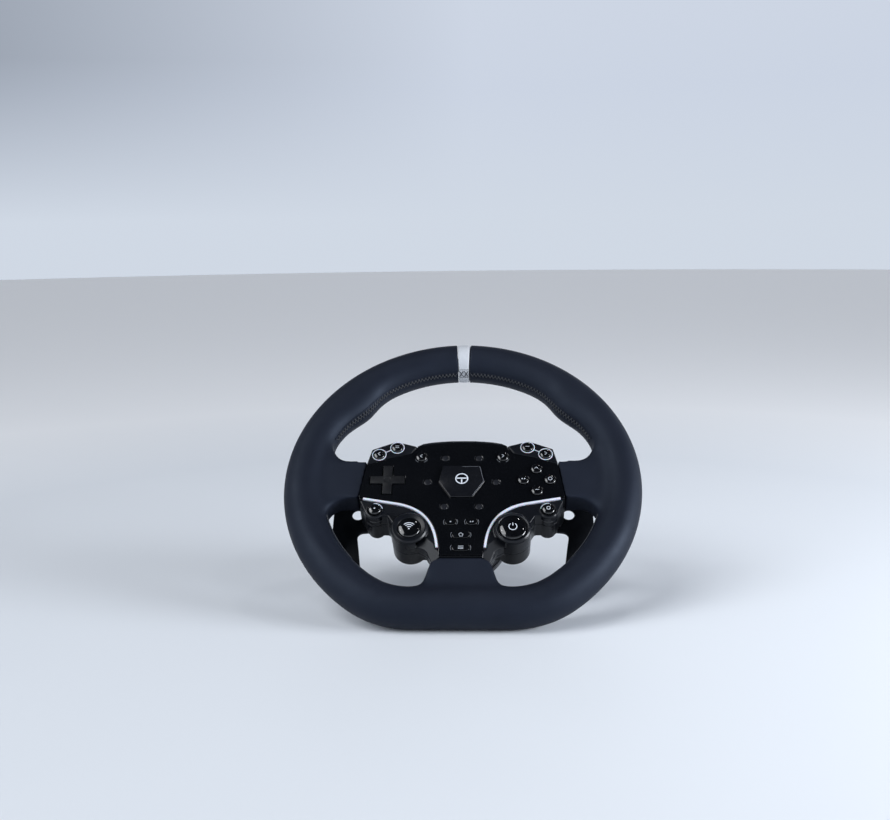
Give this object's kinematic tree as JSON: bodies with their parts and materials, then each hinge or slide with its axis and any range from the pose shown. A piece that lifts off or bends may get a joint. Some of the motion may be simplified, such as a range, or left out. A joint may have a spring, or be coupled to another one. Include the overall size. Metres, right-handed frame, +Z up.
{
  "type": "racing wheel",
  "caption": "Flat-bottomed sim-racing steering wheel with a button module, domed buttons, direction pad, shift paddles and a rear quick release with a sliding collar.",
  "frame": {"origin": "centre of the bounding box's footprint, on the table that the wheel stands on", "axes": "+Z up from the table, +X to the driver's right across the rim, +Y away from the driver; the wheel leans back by 48 degrees on its quick release, so its turning axis points along (0, -0.6687, 0.7435) towards the driver"},
  "size_m": [0.28, 0.207, 0.1894],
  "materials": {
    "leather": "matte fine-grained wrap, dark blue-grey",
    "white_leather": "matte fine-grained wrap, white",
    "alloy": "as cast and machined",
    "satin_plastic": "satin moulded plastic, near black",
    "gloss_panel": "high gloss, near black",
    "gloss_button": "polished domes, near black",
    "matte_plastic": "fine matte moulded plastic",
    "badge": "semi-gloss plaque",
    "light_strip": "translucent white light guide",
    "light_guide": "smoked translucent plastic",
    "circuit_board": "green solder mask",
    "black_metal": "black anodised, satin",
    "steel": "plain steel",
    "contact_plastic": "black moulding with contact pins"
  },
  "bodies": {
    "wheel": {"rim_armature": "alloy", "rim_grip": "leather", "centre_band": "white_leather", "front_housing": "satin_plastic", "rear_housing": "satin_plastic", "face_panel": "gloss_panel", "centre_badge": "badge", "light_strip_left": "light_strip", "light_strip_right": "light_strip", "wing_light_ring_left": "light_strip", "wing_light_ring_right": "light_strip", "main_board": "circuit_board", "indicator_light_guide": "light_guide", "pod_bezel_left": "satin_plastic", "pod_bezel_right": "satin_plastic", "paddle_pin_left": "steel", "paddle_pin_right": "steel", "paddle_magnet_left": "steel", "paddle_magnet_right": "steel", "qr_body": "black_metal", "qr_end_ring": "black_metal", "qr_spring": "steel", "contact_block": "contact_plastic", "hub_bolt_1": "steel", "hub_bolt_2": "steel", "hub_bolt_3": "steel", "hub_bolt_4": "steel", "hub_bolt_5": "steel", "hub_bolt_6": "steel", "housing_screw_1": "steel", "housing_screw_2": "steel", "housing_screw_3": "steel", "housing_screw_4": "steel"},
    "wing_button_outer_left": {"wing_button_outer_left": "gloss_button"},
    "wing_button_outer_right": {"wing_button_outer_right": "gloss_button"},
    "wing_button_inner_left": {"wing_button_inner_left": "gloss_button"},
    "wing_button_inner_right": {"wing_button_inner_right": "gloss_button"},
    "page_button_left": {"page_button_left": "gloss_button"},
    "page_button_right": {"page_button_right": "gloss_button"},
    "action_button_left": {"action_button_left": "gloss_button"},
    "action_button_right": {"action_button_right": "gloss_button"},
    "action_button_top": {"action_button_top": "gloss_button"},
    "action_button_bottom": {"action_button_bottom": "gloss_button"},
    "select_key_left": {"select_key_left": "gloss_button"},
    "select_key_right": {"select_key_right": "gloss_button"},
    "home_key": {"home_key": "gloss_button"},
    "menu_key": {"menu_key": "gloss_button"},
    "pod_button_left": {"pod_button_left": "matte_plastic"},
    "pod_button_right": {"pod_button_right": "gloss_button"},
    "small_pod_button_left": {"small_pod_button_left": "gloss_button"},
    "small_pod_button_right": {"small_pod_button_right": "gloss_button"},
    "direction_pad_gimbal": {"direction_pad_gimbal": "matte_plastic"},
    "direction_pad": {"direction_pad": "matte_plastic"},
    "shift_paddle_left": {"shift_paddle_left": "black_metal"},
    "shift_paddle_right": {"shift_paddle_right": "black_metal"},
    "qr_collar": {"qr_collar": "black_metal"}
  },
  "joints": [
    {"name": "wing_outer_left_press", "type": "slide", "parent": "wheel", "child": "wing_button_outer_left", "axis": [0, 0.6687, -0.7435], "range_m": [0, 0.001], "stiffness_N_per_m": 200, "springref_m": -0.003},
    {"name": "wing_outer_right_press", "type": "slide", "parent": "wheel", "child": "wing_button_outer_right", "axis": [0, 0.6687, -0.7435], "range_m": [0, 0.001], "stiffness_N_per_m": 200, "springref_m": -0.003},
    {"name": "wing_inner_left_press", "type": "slide", "parent": "wheel", "child": "wing_button_inner_left", "axis": [0, 0.6687, -0.7435], "range_m": [0, 0.001], "stiffness_N_per_m": 200, "springref_m": -0.003},
    {"name": "wing_inner_right_press", "type": "slide", "parent": "wheel", "child": "wing_button_inner_right", "axis": [0, 0.6687, -0.7435], "range_m": [0, 0.001], "stiffness_N_per_m": 200, "springref_m": -0.003},
    {"name": "page_left_press", "type": "slide", "parent": "wheel", "child": "page_button_left", "axis": [0, 0.6687, -0.7435], "range_m": [0, 0.001], "stiffness_N_per_m": 200, "springref_m": -0.003},
    {"name": "page_right_press", "type": "slide", "parent": "wheel", "child": "page_button_right", "axis": [0, 0.6687, -0.7435], "range_m": [0, 0.001], "stiffness_N_per_m": 200, "springref_m": -0.003},
    {"name": "action_left_press", "type": "slide", "parent": "wheel", "child": "action_button_left", "axis": [0, 0.6687, -0.7435], "range_m": [0, 0.001], "stiffness_N_per_m": 200, "springref_m": -0.003},
    {"name": "action_right_press", "type": "slide", "parent": "wheel", "child": "action_button_right", "axis": [0, 0.6687, -0.7435], "range_m": [0, 0.001], "stiffness_N_per_m": 200, "springref_m": -0.003},
    {"name": "action_top_press", "type": "slide", "parent": "wheel", "child": "action_button_top", "axis": [0, 0.6687, -0.7435], "range_m": [0, 0.001], "stiffness_N_per_m": 200, "springref_m": -0.003},
    {"name": "action_bottom_press", "type": "slide", "parent": "wheel", "child": "action_button_bottom", "axis": [0, 0.6687, -0.7435], "range_m": [0, 0.001], "stiffness_N_per_m": 200, "springref_m": -0.003},
    {"name": "select_left_press", "type": "slide", "parent": "wheel", "child": "select_key_left", "axis": [0, 0.6687, -0.7435], "range_m": [0, 0.001], "stiffness_N_per_m": 200, "springref_m": -0.003},
    {"name": "select_right_press", "type": "slide", "parent": "wheel", "child": "select_key_right", "axis": [0, 0.6687, -0.7435], "range_m": [0, 0.001], "stiffness_N_per_m": 200, "springref_m": -0.003},
    {"name": "home_press", "type": "slide", "parent": "wheel", "child": "home_key", "axis": [0, 0.6687, -0.7435], "range_m": [0, 0.001], "stiffness_N_per_m": 200, "springref_m": -0.003},
    {"name": "menu_press", "type": "slide", "parent": "wheel", "child": "menu_key", "axis": [0, 0.6687, -0.7435], "range_m": [0, 0.001], "stiffness_N_per_m": 200, "springref_m": -0.003},
    {"name": "pod_left_press", "type": "slide", "parent": "wheel", "child": "pod_button_left", "axis": [0, 0.6687, -0.7435], "range_m": [0, 0.0015], "stiffness_N_per_m": 300, "springref_m": -0.003},
    {"name": "pod_right_press", "type": "slide", "parent": "wheel", "child": "pod_button_right", "axis": [0, 0.6687, -0.7435], "range_m": [0, 0.0015], "stiffness_N_per_m": 300, "springref_m": -0.003},
    {"name": "small_pod_left_press", "type": "slide", "parent": "wheel", "child": "small_pod_button_left", "axis": [0, 0.6687, -0.7435], "range_m": [0, 0.001], "stiffness_N_per_m": 200, "springref_m": -0.003},
    {"name": "small_pod_right_press", "type": "slide", "parent": "wheel", "child": "small_pod_button_right", "axis": [0, 0.6687, -0.7435], "range_m": [0, 0.001], "stiffness_N_per_m": 200, "springref_m": -0.003},
    {"name": "direction_pad_up_down", "type": "hinge", "parent": "wheel", "child": "direction_pad_gimbal", "pos_m": [-0.0578, -0.01187, 0.09114], "axis": [1, 0, 0], "range_deg": [-4, 4], "stiffness_Nm_per_rad": 0.02},
    {"name": "direction_pad_left_right", "type": "hinge", "parent": "direction_pad_gimbal", "child": "direction_pad", "pos_m": [-0.0578, -0.01187, 0.09114], "axis": [0, 0.7435, 0.6687], "range_deg": [-4, 4], "stiffness_Nm_per_rad": 0.02},
    {"name": "paddle_left_pull", "type": "hinge", "parent": "wheel", "child": "shift_paddle_left", "pos_m": [-0.056, 0.00965, 0.06571], "axis": [0, 0.7435, 0.6687], "range_deg": [0, 4], "stiffness_Nm_per_rad": 0.8, "springref_deg": -8.59},
    {"name": "paddle_right_pull", "type": "hinge", "parent": "wheel", "child": "shift_paddle_right", "pos_m": [0.056, 0.00965, 0.06571], "axis": [0, -0.7435, -0.6687], "range_deg": [0, 4], "stiffness_Nm_per_rad": 0.8, "springref_deg": -8.59},
    {"name": "qr_collar_pull", "type": "slide", "parent": "wheel", "child": "qr_collar", "axis": [0, -0.6687, 0.7435], "range_m": [0, 0.007], "stiffness_N_per_m": 1500, "springref_m": -0.006, "deforming": ["qr_spring"]}
  ]
}
